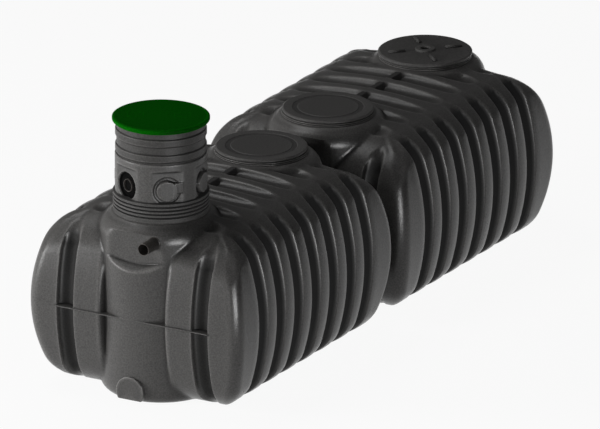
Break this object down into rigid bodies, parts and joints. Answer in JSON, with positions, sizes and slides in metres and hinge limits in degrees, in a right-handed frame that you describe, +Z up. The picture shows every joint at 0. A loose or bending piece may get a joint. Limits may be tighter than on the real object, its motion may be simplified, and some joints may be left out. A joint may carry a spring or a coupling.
{
  "type": "twin underground rainwater tank",
  "caption": "Pair of ribbed moulded plastic rainwater tanks in a row, with an access riser and lid, covered necks, an overflow stub and a low balance pipe.",
  "frame": {"origin": "under the middle of the row, on the level floor that both tanks rest on", "axes": "+X along the row from the riser end to the far end, +Z up, +Y to the left seen from the riser end"},
  "size_m": [4.828, 1.75, 2.048],
  "materials": {
    "tank_black": "satin, fine moulded grain",
    "cover_black": "satin",
    "riser_black": "satin",
    "pipe_black": "smooth",
    "seal_rubber": "matt",
    "lid_green": "satin"
  },
  "bodies": {
    "root": {"front_tank_floor": "tank_black", "front_tank_roof": "tank_black", "front_tank_front_end": "tank_black", "front_tank_rear_end": "tank_black", "front_tank_left_wall": "tank_black", "front_tank_right_wall": "tank_black", "rear_tank_floor": "tank_black", "rear_tank_roof": "tank_black", "rear_tank_front_end": "tank_black", "rear_tank_rear_end": "tank_black", "rear_tank_left_wall": "tank_black", "rear_tank_right_wall": "tank_black", "front_tank_front_neck": "tank_black", "front_tank_rear_neck": "tank_black", "rear_tank_front_neck": "tank_black", "rear_tank_rear_neck": "tank_black", "front_blank_cover": "cover_black", "rear_blank_cover": "cover_black", "rear_grip_cover": "cover_black", "riser_sleeve": "riser_black", "riser_shaft": "riser_black", "riser_extension": "riser_black", "riser_seal": "seal_rubber", "riser_lid": "lid_green", "overflow_stub": "pipe_black", "balance_pipe": "pipe_black", "balance_seal_front": "seal_rubber", "balance_seal_rear": "seal_rubber"}
  },
  "joints": []
}
